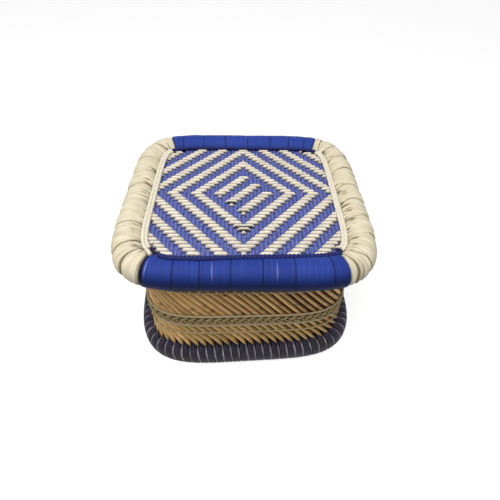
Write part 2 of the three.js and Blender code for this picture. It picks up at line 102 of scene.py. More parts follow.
floor_reach = 4.0
floor_white = 0.38
floor_glow = 0.76
floor_corners = [(x * floor_reach, y * floor_reach, 0) for x, y in ((-1, -1), (1, -1), (1, 1), (-1, 1))]
floor_mesh = bpy.data.meshes.new("floor")
floor_mesh.from_pydata(floor_corners, [], [(0, 1, 2, 3)])
floor_paint = bpy.data.materials.new("floor_paint")
floor_paint.use_nodes = True
floor_tree = floor_paint.node_tree
floor_surface = floor_tree.nodes["Principled BSDF"]
floor_surface.inputs["Base Color"].default_value = (floor_white, floor_white, floor_white, 1)
floor_surface.inputs["Roughness"].default_value = 1
floor_surface.inputs["Specular IOR Level"].default_value = 0
floor_surface.inputs["Emission Color"].default_value = (1, 1, 1, 1)
floor_shine = calc(floor_tree, "MULTIPLY", seen_directly(floor_tree), floor_glow)
floor_tree.links.new(floor_shine, floor_surface.inputs["Emission Strength"])
floor_mesh.materials.append(floor_paint)
floor = bpy.data.objects.new("floor", floor_mesh)
bpy.context.scene.collection.objects.link(floor)

lamp_power = 34
lamp_side = 1.5
lamp_distance = 2.0
lamp_lean = math.radians(20)
lamp_turn = math.radians(-28)
lamp_data = bpy.data.lights.new("soft_lamp", "AREA")
lamp_data.energy = lamp_power
lamp_data.size = lamp_side
lamp = bpy.data.objects.new("soft_lamp", lamp_data)
bpy.context.scene.collection.objects.link(lamp)
lamp.matrix_world = (
    Matrix.Rotation(lamp_turn, 4, "Z")
    @ Matrix.Rotation(lamp_lean, 4, "X")
    @ Matrix.Translation((0, 0, lamp_distance))
)


# Base ring's core. A ring of bundled grass stems that the base binding goes round, and that
# shows only in the slits between its strips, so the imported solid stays.
def paint(red, green, blue):
    """A colour as it looks, each part from 0 to 255, as the linear values that a shader takes."""
    parts = [value / 255 for value in (red, green, blue)]
    return (*[part / 12.92 if part <= 0.04045 else ((part + 0.055) / 1.055) ** 2.4 for part in parts], 1)


def blend_paints(tree, share, first, second):
    """Two colours or colour sockets blended, by a share from 0 to 1."""
    return add_node(tree, "Mix", {0: share, 6: first, 7: second}, data_type="RGBA").outputs[2]


def fibre_finish(name, paints, fibre_length, fibre_width, roughness, relief,
                 space=None, mark_paints=None, gloss=0.3):
    """Fibres along a strand, in three paints from dark to light, with a fibre's length and width.
    A piece without strands has fibres along its own space, stretched by some shares. A piece with
    tones has two mark paints, for the two marks that its tones hold."""
    dark, middle, light = paints
    material = bpy.data.materials.new(name)
    material.use_nodes = True
    tree = material.node_tree
    surface = tree.nodes["Principled BSDF"]
    if space is None:
        place = add_node(tree, "Attribute", attribute_name="strand").outputs["Vector"]
    else:
        coordinates = add_node(tree, "TexCoord").outputs["Object"]
        place = add_node(tree, "VectorMath", {0: coordinates, 1: space}, operation="MULTIPLY").outputs[0]
    size = (1 / fibre_length, 1 / fibre_width, 1)
    stretched = add_node(tree, "VectorMath", {0: place, 1: size}, operation="MULTIPLY").outputs[0]
    noise = {"Vector": stretched, "Scale": 1.0, "Detail": 3.0, "Roughness": 0.65}
    fibres = add_node(tree, "TexNoise", noise).outputs["Fac"]
    ramp = add_node(tree, "ValToRGB", {"Fac": fibres})
    stops = ramp.color_ramp.elements
    stops[0].position = 0.32
    stops[1].position = 0.68
    stops[0].color = dark
    stops[1].color = light
    stops.new(0.5).color = middle
    colour = ramp.outputs["Color"]
    if mark_paints:
        tone = add_node(tree, "Attribute", attribute_name="tone").outputs["Vector"]
        levels = add_node(tree, "SeparateXYZ", {0: tone}).outputs
        colour = blend_paints(tree, levels["Y"], colour, mark_paints[0])
        colour = blend_paints(tree, levels["Z"], colour, mark_paints[1])
        colour = add_node(tree, "HueSaturation", {"Value": levels["X"], "Color": colour}).outputs["Color"]
    tree.links.new(colour, surface.inputs["Base Color"])
    surface.inputs["Roughness"].default_value = roughness
    surface.inputs["Specular IOR Level"].default_value = gloss
    bump = add_node(tree, "Bump", {"Height": fibres, "Strength": 0.6, "Distance": relief / 1000})
    tree.links.new(bump.outputs["Normal"], surface.inputs["Normal"])
    return material


dry_grass = fibre_finish(
    "dry_grass", (paint(96, 76, 44), paint(150, 126, 80), paint(184, 160, 110)),
    fibre_length=1, fibre_width=1, roughness=0.9, relief=0.6, space=(90, 90, 900),
)
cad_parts["base_core"].material_slots[0].material = dry_grass


# Base binding. Navy plastic strip goes round the base ring, three narrow turns and then the thin
# pale tail of a reed, again and again. It stands flat on the floor and peaks between the reeds.
sides = ("front", "right", "back", "left")
base_twist = math.radians(3.4)
base_half_wide = 178
base_half_deep = 170
base_corner_share = 0.8543
base_roll_half_wide = 16
base_roll_half_high = 18
base_roll_roundness = 2.5
base_roll_middle = 16.5
floor_softness = 2.2
binding_depth = 2.5
binding_steps = 28
peak_sharpness = 6
strip_lobes = 3
strip_lobe_points = 5
strip_lobe_height = 1.3
strip_groove_shade = 0.2
strip_crest_mark = 0.3
strip_peak = 5.5
strip_waver = 0.02
tail_share = 0.2
tail_overlap = 1.1
tail_height = 1.1
tail_crest_mark = 0.5
tail_waver = 0.2

# The tails are the ends of the drum's reeds, so they follow the places of the reeds' feet
reeds_per_bundle = 5
reeds_round = reeds_per_bundle * sum(name.startswith("outer_reeds_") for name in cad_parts)
rim_height = 218
rim_radius = 24
drum_half_wide = 172.5
drum_half_deep = 169
drum_corner_share = 0.8655
reed_lean = math.radians(38)
reed_top = rim_height - rim_radius
reed_foot = base_roll_middle + base_roll_half_high
reed_run = (reed_top - reed_foot) * math.tan(reed_lean)


def rounded_radius(half_wide, half_high, roundness, angle):
    """How far a rounded box reaches at an angle: a roundness of 2 is an ellipse, more is squarer."""
    wide = np.abs(np.cos(angle) / half_wide) ** roundness
    high = np.abs(np.sin(angle) / half_high) ** roundness
    return (wide + high) ** (-1 / roundness)


class Outline:
    """A rounded square seen from above. Along it, places start at the middle of the front and go
    towards +X and round. corner_share says how far it reaches towards its square's corner."""

    def __init__(self, half_wide, half_deep, corner_share):
        angle = np.linspace(-0.5, 1.5, 5761) * math.pi
        radius = rounded_radius(half_wide, half_deep, -1 / math.log2(corner_share), angle)
        self.x = radius * np.cos(angle)
        self.y = radius * np.sin(angle)
        steps = np.hypot(np.diff(self.x), np.diff(self.y))
        self.travel = np.concatenate([[0], np.cumsum(steps)])
        self.length = self.travel[-1]
        self.heading = np.unwrap(np.arctan2(np.gradient(self.y), np.gradient(self.x)))

    def place(self, along, outwards, height):
        """Points at distances along the outline, moved outwards from it, at a height."""
        along, outwards, height = np.broadcast_arrays(along, outwards, height)
        travel = np.mod(along, self.length)
        heading = np.interp(travel, self.travel, self.heading)
        x = np.interp(travel, self.travel, self.x) + np.sin(heading) * outwards
        y = np.interp(travel, self.travel, self.y) - np.cos(heading) * outwards
        return np.stack([x, y, height], -1)


def turned(points, angle):
    """Points turned about the stool's upright axis."""
    x, y, height = points[..., 0], points[..., 1], points[..., 2]
    turned_x = x * np.cos(angle) - y * np.sin(angle)
    turned_y = x * np.sin(angle) + y * np.cos(angle)
    return np.stack([turned_x, turned_y, height], -1)


def ring_angles(count):
    """The angles of the points of a ring."""
    return np.linspace(0, 2 * math.pi, count, endpoint=False)


def strand_faces(points, looped):
    """Corner numbers for skins over rings of points. Each strand is a loop or has flat end caps."""
    number = np.arange(points.size // 3).reshape(-1, *points.shape[-3:-1])
    first = number if looped else number[:, :-1]
    second = np.roll(number, -1, 1) if looped else number[:, 1:]
    corners = [first, np.roll(first, -1, 2), np.roll(second, -1, 2), second]
    quads = np.stack(corners, -1).reshape(-1, 4)
    return [quads] if looped else [quads, number[:, 0, ::-1], number[:, -1]]


def turned_out(points, faces):
    """Faces whose corners run round so that the faces look outwards."""
    first = points[faces[0]]
    diagonals = np.cross(first[:, 1], first[:, 2]) + np.cross(first[:, 2], first[:, 3])
    volume = np.einsum("ij,ij->", first[:, 0], diagonals)
    return [face[:, ::-1] for face in faces] if volume < 0 else faces


def make_piece(name, points, material, strand, tone=None, looped=False):
    """A smooth mesh over the rings of points, in mm, of one strand or more. strand holds, for each
    point, its distance along and across its strand and a number that differs from strand to strand.
    tone holds how bright the point is and how much of the finish's two marks it has."""
    faces = strand_faces(points, looped)
    points = points.reshape(-1, 3)
    faces = turned_out(points, faces)
    corners = np.concatenate([face.ravel() for face in faces])
    counts = np.concatenate([np.full(len(face), face.shape[1]) for face in faces])
    mesh = bpy.data.meshes.new(name)
    mesh.vertices.add(len(points))
    mesh.vertices.foreach_set("co", (points / 1000).astype(np.float32).ravel())
    mesh.loops.add(len(corners))
    mesh.loops.foreach_set("vertex_index", corners.astype(np.int32))
    mesh.polygons.add(len(counts))
    mesh.polygons.foreach_set("loop_start", (np.cumsum(counts) - counts).astype(np.int32))
    mesh.polygons.foreach_set("use_smooth", np.ones(len(counts), bool))
    for layer, values in (("strand", strand), ("tone", tone)):
        if values is not None:
            made = mesh.attributes.new(layer, "FLOAT_VECTOR", "POINT")
            made.data.foreach_set("vector", np.ascontiguousarray(values, np.float32).ravel())
    mesh.update(calc_edges=True)
    mesh.materials.append(material)
    piece = bpy.data.objects.new(name, mesh)
    bpy.context.scene.collection.objects.link(piece)
    return piece


def stacked(*values):
    """Values of the same or simpler shapes as one array of rows."""
    return np.stack(np.broadcast_arrays(*values), -1).reshape(-1, len(values))


def settled(height):
    """Heights pressed flat near the floor, without one passing another."""
    lift = (height + np.hypot(height, floor_softness)) / 2
    lowest = base_roll_middle - base_roll_half_high
    return np.maximum(lift - (lowest + math.hypot(lowest, floor_softness)) / 2, 0)


base_outline = Outline(base_half_wide, base_half_deep, base_corner_share)
drum_outline = Outline(drum_half_wide, drum_half_deep, drum_corner_share)
base_pitch = base_outline.length / reeds_round
foot_start = reed_run / 2
twist_shift = base_twist * reed_foot / rim_height * base_half_deep
tail_start = foot_start * base_outline.length / drum_outline.length - twist_shift


def base_winding(across, lift, peak, first, turns, random, waver):
    """Rings of a strip wound round the base, dropping on the outer side towards the next turn.
    waver is how far its width and its line stray from turn to turn, as a share of its width."""
    turn = np.arange(turns * binding_steps + 1)[:, None] / binding_steps
    places = np.arange(0, turns + 1, 0.25)
    stray, spread = (np.interp(turn, places, random.normal(size=len(places))) * waver for _ in range(2))
    across = across * (1 + spread) + np.ptp(across) * stray * 0.7
    angle = math.pi / 2 - turn * 2 * math.pi
    rise = lift + peak * np.clip(np.sin(angle), 0, 1) ** peak_sharpness
    half_wide, half_high = base_roll_half_wide + rise, base_roll_half_high + rise
    radius = rounded_radius(half_wide, half_high, base_roll_roundness, angle)
    along = first + turn * base_pitch + across
    points = base_outline.place(along, radius * np.cos(angle), base_roll_middle + radius * np.sin(angle))
    points[..., 2] = settled(points[..., 2])
    around = turn * 2 * math.pi * base_roll_half_high
    brightness = 1 + 0.14 * np.interp(turn, places, random.normal(size=len(places)))
    tint = np.clip(np.interp(turn, places, random.uniform(size=len(places))) - 0.45, 0, 1)
    crest = np.clip((np.sin(angle) - 0.9) / 0.08, 0, 1)
    tone = stacked(brightness + 0 * across, tint, crest)
    return turned(points, base_twist), stacked(around, across, np.floor(turn) * 3.7), tone


navy_strip = fibre_finish(
    "navy_strip", (paint(10, 9, 15), paint(24, 23, 43), paint(48, 44, 72)),
    fibre_length=14, fibre_width=0.8, roughness=0.55, relief=0.3,
    mark_paints=(paint(44, 36, 40), paint(30, 24, 66)),
)
reed_tail = fibre_finish(
    "reed_tail", (paint(86, 80, 88), paint(134, 127, 136), paint(180, 172, 178)),
    fibre_length=9, fibre_width=0.7, roughness=0.7, relief=0.3,
    mark_paints=(paint(96, 84, 84), paint(24, 24, 44)),
)

# The strip's section lobes once for each of its narrow turns, and runs back along its underside
strip_width = base_pitch * (1 - tail_share)
share = np.linspace(0, 1, strip_lobes * strip_lobe_points + 1)
section_share = np.concatenate([share, share[::-strip_lobe_points]])
lobes = strip_lobe_height * np.abs(np.sin(share * strip_lobes * math.pi)) ** 0.7
strip_across = section_share * strip_width + base_pitch * tail_share / 2
strip_lift = np.concatenate([lobes, np.full(strip_lobes + 1, -binding_depth)])
strip_rise = np.sin(section_share * math.pi) ** 1.5 * strip_peak
strip_groove = 1 - np.clip(strip_lift / strip_lobe_height, 0, 1)

# A tail's section is one low hump
share = np.linspace(0, 1, 7)
tail_across = (np.concatenate([share, share[::-3]]) - 0.5) * base_pitch * tail_share * tail_overlap
tail_lift = np.concatenate([tail_height * np.sin(share * math.pi), np.full(3, -binding_depth)])

turns_done = 0
base_random = np.random.default_rng(41)
for number, side in enumerate(sides):
    turns = round(reeds_round * (number + 1) / 4) - turns_done
    first = tail_start + (turns_done - round(reeds_round / 8)) * base_pitch
    turns_done += turns
    node = f"base_wrap_{side}"

    points, strand, tone = base_winding(
        strip_across, strip_lift, strip_rise, first, turns, base_random, strip_waver)
    # The strip is painted darker in the grooves between its lobes, as painted shade.
    tone[:, 0] *= 1 - (1 - strip_groove_shade) * np.tile(strip_groove, len(points))
    tone[:, 2] *= strip_crest_mark
    strip = make_piece(f"{node}_strip", points, navy_strip, strand, tone)
    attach(strip, "root")
    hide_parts(node)

    points, strand, tone = base_winding(
        tail_across, tail_lift, 0 * tail_across, first, turns, base_random, tail_waver)
    tone[:, 2] *= tail_crest_mark
    tails = make_piece(f"{node}_tails", points, reed_tail, strand, tone)
    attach(tails, "root")


# Reeds of the drum. Dried river reeds about 9.5 mm thick in two layers that lean opposite ways,
# drawn in a little at the waist. Each outer reed is cut to a point over the base binding.
reed_thickness = 9.6
reed_spacing = 2.0
reed_rings = 36
reed_ring_points = 14
reed_tone_spread = 0.1
knot_half_share = 0.01
tip_length = 13
tip_girth_share = 0.32
foot_spread = 3.0
inner_foot = 18
inner_per_bundle = 6
layer_gap = 1.5
waist_depth = 2.5
waist_share = 0.42
bleached_height = 12
shade_width = 280
drum_middle = (reed_top + reed_foot) / 2
waist_middle = reed_foot + waist_share * (reed_top - reed_foot)
outer_pitch = drum_outline.length / reeds_round


def on_drum(along, outwards, height):
    """Points on the drum, whose outline is drawn in at the waist and twists towards the base."""
    from_middle = (height - drum_middle) / (reed_top - drum_middle)
    drawn_in = waist_depth * (1 - np.minimum(from_middle ** 2, 1))
    points = drum_outline.place(along, outwards - drawn_in, height)
    return turned(points, base_twist * (1 - points[..., 2] / rim_height))


def cane(along_foot, lean_sign, half_width, depth, foot, taper, seed):
    """Rings of points of one reed: thickest at its knots, and tapered at its foot."""
    random = np.random.default_rng(seed)
    half_depth = reed_thickness / 2
    share = np.linspace(0, 1, reed_rings)[:, None]
    height = foot + share * (reed_top - foot)
    along = along_foot - lean_sign * reed_run * (height - reed_foot) / (reed_top - reed_foot)
    knots = random.uniform(0.05, 0.95, 2)
    knot = sum(np.exp(-((share - place) / knot_half_share) ** 2) for place in knots)
    girth = 0.97 + 0.05 * random.uniform(-1, 1) + 0.04 * knot
    girth = girth + 0.015 * np.sin(share * 20 + random.uniform(0, 6))
    risen = np.clip((height - foot) / taper, 0, 1) if taper else np.ones_like(height)
    point = tip_girth_share + (1 - tip_girth_share) * risen ** 0.75
    angle = ring_angles(reed_ring_points)
    bow = 0.5 * np.sin(share * math.pi * random.uniform(1, 2.4) + random.uniform(0, 6))
    across = half_width * girth * point * np.cos(angle) + bow
    out = half_depth * girth * point * np.sin(angle) - depth + half_depth * (1 - point) * 0.9
    points = on_drum(along + across, out + foot_spread * (1 - risen), height)

    # Shade is painted on each reed's side away from the light, stronger towards +X. Reeds are also
    # darker at the knots and at the cut, and paler below the waist
    tone = random.normal(1, reed_tone_spread) - 0.1 * knot
    away_from_light = np.clip((np.cos(angle) - 0.2) / 0.5, 0, 1)
    shade = away_from_light * np.clip(0.6 + points[..., 0] / shade_width, 0.1, 1)
    shade_and_stain = np.clip(shade + 0.5 * knot + 0.35 * (1 - risen) + random.normal(0, 0.1), 0, 1)
    below_waist = np.clip((waist_middle - points[..., 2]) / bleached_height, 0, 1)
    bleached = below_waist * random.uniform(0.1, 0.4)
    strand = stacked(share * 200, angle * half_width, seed * 3.1)
    return points, strand, stacked(tone, shade_and_stain, bleached)


def joined(strands):
    """The points, places and tones of several strands, each stacked into one array."""
    return (np.stack(values) for values in zip(*strands))


reed_skin = fibre_finish(
    "reed_skin", (paint(176, 129, 73), paint(220, 178, 116), paint(240, 206, 149)),
    fibre_length=26, fibre_width=1.6, roughness=0.55, relief=0.15,
    mark_paints=(paint(88, 56, 26), paint(176, 154, 96)),
)
shaded_reed_skin = fibre_finish(
    "shaded_reed_skin", (paint(74, 46, 24), paint(112, 74, 40), paint(148, 106, 62)),
    fibre_length=26, fibre_width=1.6, roughness=0.7, relief=0.15,
    mark_paints=(paint(70, 44, 22), paint(130, 104, 66)),
)

outer_half_width = (outer_pitch - reed_spacing / math.cos(reed_lean)) / 2
outer_depth = reed_thickness / 2
outer_seed = 100
outer_nodes = sorted(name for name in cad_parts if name.startswith("outer_reeds_"))
for number, node in enumerate(outer_nodes):
    canes = []
    for reed in range(number * reeds_per_bundle, (number + 1) * reeds_per_bundle):
        place = reed * outer_pitch + foot_start
        canes.append(cane(
            place, 1, outer_half_width, outer_depth, reed_foot, tip_length, outer_seed + reed))
    points, strand, tone = joined(canes)
    bundle = make_piece(f"{node}_canes", points, reed_skin, strand, tone)
    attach(bundle, "root")
    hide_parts(node)

inner_nodes = sorted(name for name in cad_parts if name.startswith("inner_reeds_"))
inner_pitch = drum_outline.length / (inner_per_bundle * len(inner_nodes))
inner_half_width = inner_pitch * 0.6
inner_depth = reed_thickness * 1.4 + layer_gap
inner_seed = 300
for number, node in enumerate(inner_nodes):
    canes = []
    for reed in range(number * inner_per_bundle, (number + 1) * inner_per_bundle):
        place = (reed - 1) * inner_pitch - foot_start
        canes.append(cane(place, -1, inner_half_width, inner_depth, inner_foot, 0, inner_seed + reed))
    points, strand, tone = joined(canes)
    bundle = make_piece(f"{node}_canes", points, shaded_reed_skin, strand, tone)
    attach(bundle, "root")
    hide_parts(node)


# Twine round the drum. Olive grass twine: two laid cords with a flat plait of three strands
# between them at the waist, and a lashing above and below that is knotted at each reed.
waist_band_height = 26
waist_cord_radius = 1.9
waist_cord_points = 12
waist_cord_lay = 8.5
waist_cord_paleness = 0.2
plait_strand_radius = 1.15
plait_strand_points = 8
plait_strand_lay = 5
plait_swing = 6.0
plait_period = 40.8
plait_standoff = 2.4
plait_crossing = 1.3
lower_lashing_share = 0.22
upper_lashing_share = 0.85
lashing_radius = 1.5
lashing_points = 10
lashing_lay = 6
lashing_knot_depth = 1.1
lashing_knot_rise = 0.8
twine_standoff = 0.3
twine_step = 0.9
ply_depth = 0.14
groove_shade = 0.3
twine_finish = fibre_finish(
    "grass_twine", (paint(112, 92, 58), paint(178, 156, 108), paint(210, 190, 144)),
    fibre_length=5, fibre_width=0.6, roughness=0.9, relief=0.4,
    mark_paints=(paint(240, 234, 216), paint(70, 56, 32)),
)


def steady(value):
    """A line that keeps one value all along a cord."""
    return lambda along: value + 0 * along


def laid_cord(placer, length, outwards, height, radius, lay, step, ring_points, first=0.0):
    """Rings of a cord twisted from two plies, along a line given by its distance and offsets."""
    rings = int(round(length / step))
    along = first + np.arange(rings)[:, None] * length / rings
    angle = ring_angles(ring_points)
    twists = round(length / lay) * 2 * math.pi / length
    ply = np.cos(2 * (angle - (along - first) * twists))
    lobe = radius * (1 - ply_depth + ply_depth * ply)
    out = outwards(along) + lobe * np.cos(angle)
    up = height(along) + lobe * np.sin(angle)
    points = placer(along + 0 * angle, out, up)
    strand = stacked(along, angle * radius + along * radius * twists, 0.0)
    return points, strand, stacked(1 - groove_shade * (0.5 - 0.5 * ply), 0.0, 0.0)


for name, above in (("waist_cord_upper", 1), ("waist_cord_lower", -1)):
    level = waist_middle + above * (waist_band_height / 2 - waist_cord_radius)
    points, strand, tone = laid_cord(
        on_drum, drum_outline.length, steady(twine_standoff + waist_cord_radius), steady(level),
        waist_cord_radius, waist_cord_lay, twine_step, waist_cord_points)
    tone[:, 1] = waist_cord_paleness
    cord = make_piece(f"{name}_laid", points, twine_finish, strand, tone, looped=True)
    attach(cord, "root")
    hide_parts(name)

plait = []
plait_turn = round(drum_outline.length / plait_period) * 2 * math.pi / drum_outline.length
for phase in (0, 2 * math.pi / 3, 4 * math.pi / 3):
    for beside in (-plait_strand_radius, plait_strand_radius):
        points, strand, tone = laid_cord(
            on_drum, drum_outline.length,
            lambda along: twine_standoff + plait_standoff
            + plait_crossing * np.sin(2 * (along * plait_turn + phase)),
            lambda along: waist_middle + beside + plait_swing * np.sin(along * plait_turn + phase),
            plait_strand_radius, plait_strand_lay, twine_step, plait_strand_points)
        # Shade is painted on each strand where it passes under the others.
        under = -np.sin(2 * (strand[:, 0] * plait_turn + phase))
        tone[:, 2] = 0.8 * np.clip(under + 0.2, 0, 1)
        plait.append((points, strand, tone))
points, strand, tone = joined(plait)
waist_plait = make_piece("waist_lacing_plait", points, twine_finish, strand, tone, looped=True)
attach(waist_plait, "root")
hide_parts("waist_lacing")

for name, level_share, pale in (
        ("lower_lashing", lower_lashing_share, 0.25), ("upper_lashing", upper_lashing_share, 0.9)):
    level = reed_foot + level_share * (reed_top - reed_foot)
    crown = foot_start - reed_run * (level - reed_foot) / (reed_top - reed_foot)

    def knots(along):
        """1 at the crown of each reed, where the lashing is knotted, and 0 between."""
        return np.clip(np.cos((along - crown) / outer_pitch * 2 * math.pi), 0, 1) ** 2

    points, strand, tone = laid_cord(
        on_drum, drum_outline.length,
        lambda along: twine_standoff + lashing_radius * 0.4 + lashing_knot_depth * knots(along),
        lambda along: level + lashing_knot_rise * knots(along),
        lashing_radius, lashing_lay, twine_step, lashing_points)
    tone[:, 1] = pale * knots(strand[:, 0])
    lashing = make_piece(f"{name}_knotted", points, twine_finish, strand, tone, looped=True)
    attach(lashing, "root")
    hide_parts(name)


# Rim core. A thick ring of bundled grass stems that the rim's bindings go round and hide, so
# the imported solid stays.
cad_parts["rim_core"].material_slots[0].material = dry_grass


# Seat. Blue cords run from front to back over cream cords that run from side to side. A cream
# cord rises over three blue ones at a time, one step on in each row, and so draws the diamonds.
warp_pitch = 6.67
weft_pitch = 7.8
weave_centre = (-1.9, 5.6)
first_diamond = 11
diamond_period = 6
diamond_floats = 3
stroke_reach = 6
seat_middle_height = 223.9
seat_half_wide = 154.5
seat_half_deep = 150.5
seat_roundness = 5.8
warps = int(seat_half_wide / warp_pitch)
wefts = int(seat_half_deep / weft_pitch)
samples_per_cord = 4
cord_ring_points = 10
cord_puff_lift = 0.35
cord_puff_share = 0.1
cord_sway = 0.25
cord_stray = 0.12
fibre_stretch = 1.6
strand_jump = 2.3


def cream_shows(column, row):
    """Whether the cream cord lies over the blue one where that column and row cross."""
    away = np.abs(column) + np.abs(row) - first_diamond
    shows = (away >= 0) & (np.mod(away, diamond_period) < diamond_floats)
    for shift in (-diamond_period, 0, diamond_period):
        middle = row + shift
        in_stroke = np.abs(middle + row) <= stroke_reach
        lowest = (-stroke_reach - shift) // 2
        dot = (row == lowest - 1) & (column == lowest + shift)
        shows = shows | (in_stroke & (np.abs(column - middle) <= 1)) | dot
    return shows


# Dark slits gape under the cream floats at the front tips of the diamonds and strokes; their
# shadow is painted on the cords, not made in their shape. Each row has its slit's middle column, how many
# columns it reaches to each side, and how dark it is.
tip_slit_shadows = {}
for diamond, darkness in enumerate((1, 0.55)):
    tip_row = -first_diamond - diamond * diamond_period
    tip_slit_shadows[tip_row] = (0, 2.4, darkness)
    tip_slit_shadows[tip_row - 1] = (0, 1.4, darkness)
for stroke, darkness in zip((-1, 0, 1), (0.5, 1, 0.85)):
    tip_row = (-stroke_reach - stroke * diamond_period) // 2
    tip_slit_shadows[tip_row] = (tip_row + stroke * diamond_period, 1.4, darkness)


def eased(part):
    """A share from 0 to 1 that starts and ends slowly."""
    return part * part * (3 - 2 * part)


def woven_cords(crosswise, seed, count, pitch, crossing_count, crossing_pitch, shows, rise,
                half_height, width_share, puff_share):
    """Rings of parallel cords, cut at the seat's rounded outline, that rise over the crossing
    cords where shows says so."""
    random = np.random.default_rng(seed)
    half, side_half = (seat_half_wide, seat_half_deep) if crosswise else (seat_half_deep, seat_half_wide)
    offset, side_offset = weave_centre if crosswise else weave_centre[::-1]
    rings = 2 * crossing_count * samples_per_cord
    angle = ring_angles(cord_ring_points) + math.pi / cord_ring_points
    front_flank = -np.cos(angle)
    blur = np.hanning(2 * samples_per_cord + 3)
    cords = []
    for number in range(-count, count + 1):
        side = number * pitch + side_offset
        if abs(side) > side_half - pitch / 3:
            continue
        reach = half * (1 - (abs(side) / side_half) ** seat_roundness) ** (1 / seat_roundness)
        main = np.linspace(-reach, reach, rings)
        place = (main - offset) / crossing_pitch
        before = np.floor(place).astype(int)
        part = eased(place - before)
        up = np.where(shows(number, before), 1.0, -1.0) * (1 - part)
        up = up + np.where(shows(number, before + 1), 1.0, -1.0) * part
        puff = np.convolve(up, blur / blur.sum(), "same")
        half_width = pitch * (width_share + puff_share * puff)
        level = seat_middle_height + rise * up + cord_puff_lift * np.clip(puff, 0, 1)
        sway = cord_sway * np.sin(place * 0.9 + random.uniform(0, 6)) + random.normal(0, cord_stray)
        across = half_width[:, None] * np.cos(angle) + sway[:, None]
        lift = (half_height * (1 + cord_puff_share * puff))[:, None] * np.sin(angle) + level[:, None]
        main = main[:, None] + 0 * across
        points = np.stack([main, side + across, lift] if crosswise else [side + across, main, lift], -1)
        strand = stacked(main, across * fibre_stretch, number * strand_jump)

        # Shade is painted on cords where they dip under, and painted shadow at the front of a float's ends
        # and of the tip slits
        tone = 1 + 0.05 * random.normal() + 0.03 * random.normal(size=len(place)) + 0.12 * (puff - 0.4)
        painted_shadow = np.clip(1.9 - 1.4 * np.abs(up), 0, 1)[:, None] * np.clip(1.7 * front_flank - 0.45, 0, 1)
        painted_shadow = np.maximum(painted_shadow, 0.5 * np.clip(-up, 0, 1)[:, None])
        if crosswise and number in tip_slit_shadows:
            slit_middle, slit_reach, darkness = tip_slit_shadows[number]
            inside = darkness * np.clip(2.5 * (slit_reach - np.abs(place - slit_middle)) + 0.5, 0, 1)
            painted_shadow = np.maximum(painted_shadow, inside[:, None] * np.clip(1.8 * front_flank - 0.25, 0, 1))
        cords.append((points, strand, stacked(tone[:, None], painted_shadow, 0.0)))
    return joined(cords)


seat_cords = {
    "seat_weft": dict(
        crosswise=True, seed=11, count=wefts, pitch=weft_pitch,
        crossing_count=warps, crossing_pitch=warp_pitch,
        shows=lambda row, column: cream_shows(column, row),
        rise=2.6, half_height=2.3, width_share=0.42, puff_share=0.05),
    "seat_warp": dict(
        crosswise=False, seed=29, count=warps, pitch=warp_pitch,
        crossing_count=wefts, crossing_pitch=weft_pitch,
        shows=lambda column, row: ~cream_shows(column, row),
        rise=1.3, half_height=1.4, width_share=0.45, puff_share=0.075),
}
cream_cord = fibre_finish(
    "cream_cord", (paint(190, 176, 152), paint(230, 221, 203), paint(247, 242, 232)),
    fibre_length=7, fibre_width=0.8, roughness=0.85, relief=0.35,
    mark_paints=(paint(46, 36, 36), paint(150, 140, 110)),
)
blue_cord = fibre_finish(
    "blue_cord", (paint(46, 54, 118), paint(76, 87, 157), paint(130, 138, 186)),
    fibre_length=5, fibre_width=1.1, roughness=0.7, relief=0.35,
    mark_paints=(paint(38, 36, 88), paint(86, 66, 150)),
)
for node, layer in seat_cords.items():
    points, strand, tone = woven_cords(**layer)
    material = cream_cord if layer["crosswise"] else blue_cord
    seat = make_piece(f"{node}_cords", points, material, strand, tone)
    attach(seat, "root")
    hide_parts(node)


# Rim bindings at the sides. Broad bands of pale split palm leaf are wound tight round the rim and
# bulge between their overlaps. Their fibres run round the roll and gather towards the seat.
rim_half_wide = 179
rim_half_deep = 175
rim_corner_share = 0.8874
rim_outline = Outline(rim_half_wide, rim_half_deep, rim_corner_share)
blue_half_length = rim_outline.length * 7 / 64
binding_gap = 0.3
band_marks = {
    "left": (-153, -103, -60, -17, 28, 81, 129, 153, 176),
    "right": (-178, -171, -158, -112, -70, -27, 14, 67, 104, 140, 165),
}
leaf_seeds = {"left": 5, "right": 8}
band_crown = 1.5
band_step = 1.1
band_groove = 1.9
band_waver = 1.2
leaf_relief = 0.32
leaf_swelling = 0.4
leaf_end_drop = 4
leaf_ring_step = 0.6
gather_angle = 2.35
gather_width = 0.42
gather_depth = 0.8
roll_points = 72
hidden_side = math.radians(-126)


def smooth_noise(random, rows, columns, knots, width):
    """A field of bumps: narrow along its rows, and slowly changing round its columns."""
    rough = random.normal(size=(rows, knots))
    reach = int(width * 3) + 1
    kernel = np.exp(-0.5 * (np.arange(-reach, reach + 1) / width) ** 2)
    kernel /= np.sqrt((kernel ** 2).sum())
    smooth = np.stack([np.convolve(rough[:, k], kernel, "same") for k in range(knots)], 1)
    place = np.arange(columns) / columns * knots
    before = np.floor(place).astype(int)
    part = eased(place - before)
    return smooth[:, before % knots] * (1 - part) + smooth[:, (before + 1) % knots] * part


def roll_piece(middle, half, step, lift, end_drop):
    """Rings of a rim roll that reaches half its length to each side of its middle, with rounded
    ends. lift gives how far each point stands off the roll, and its brightness and two marks."""
    start, end = middle - half, middle + half
    rings = int((end - start) / step) + 1
    along = np.linspace(start, end, rings)[:, None]
    angle = hidden_side + ring_angles(roll_points)
    near_end = np.minimum(along - start, end - along)
    drop = end_drop * np.clip(1 - near_end / end_drop, 0, 1) ** 2
    raised, tones = lift(along - middle, angle, rings)
    radius = rim_radius + raised - drop
    points = rim_outline.place(along, radius * np.cos(angle), rim_height + radius * np.sin(angle))
    return points, along, angle, stacked(*tones)


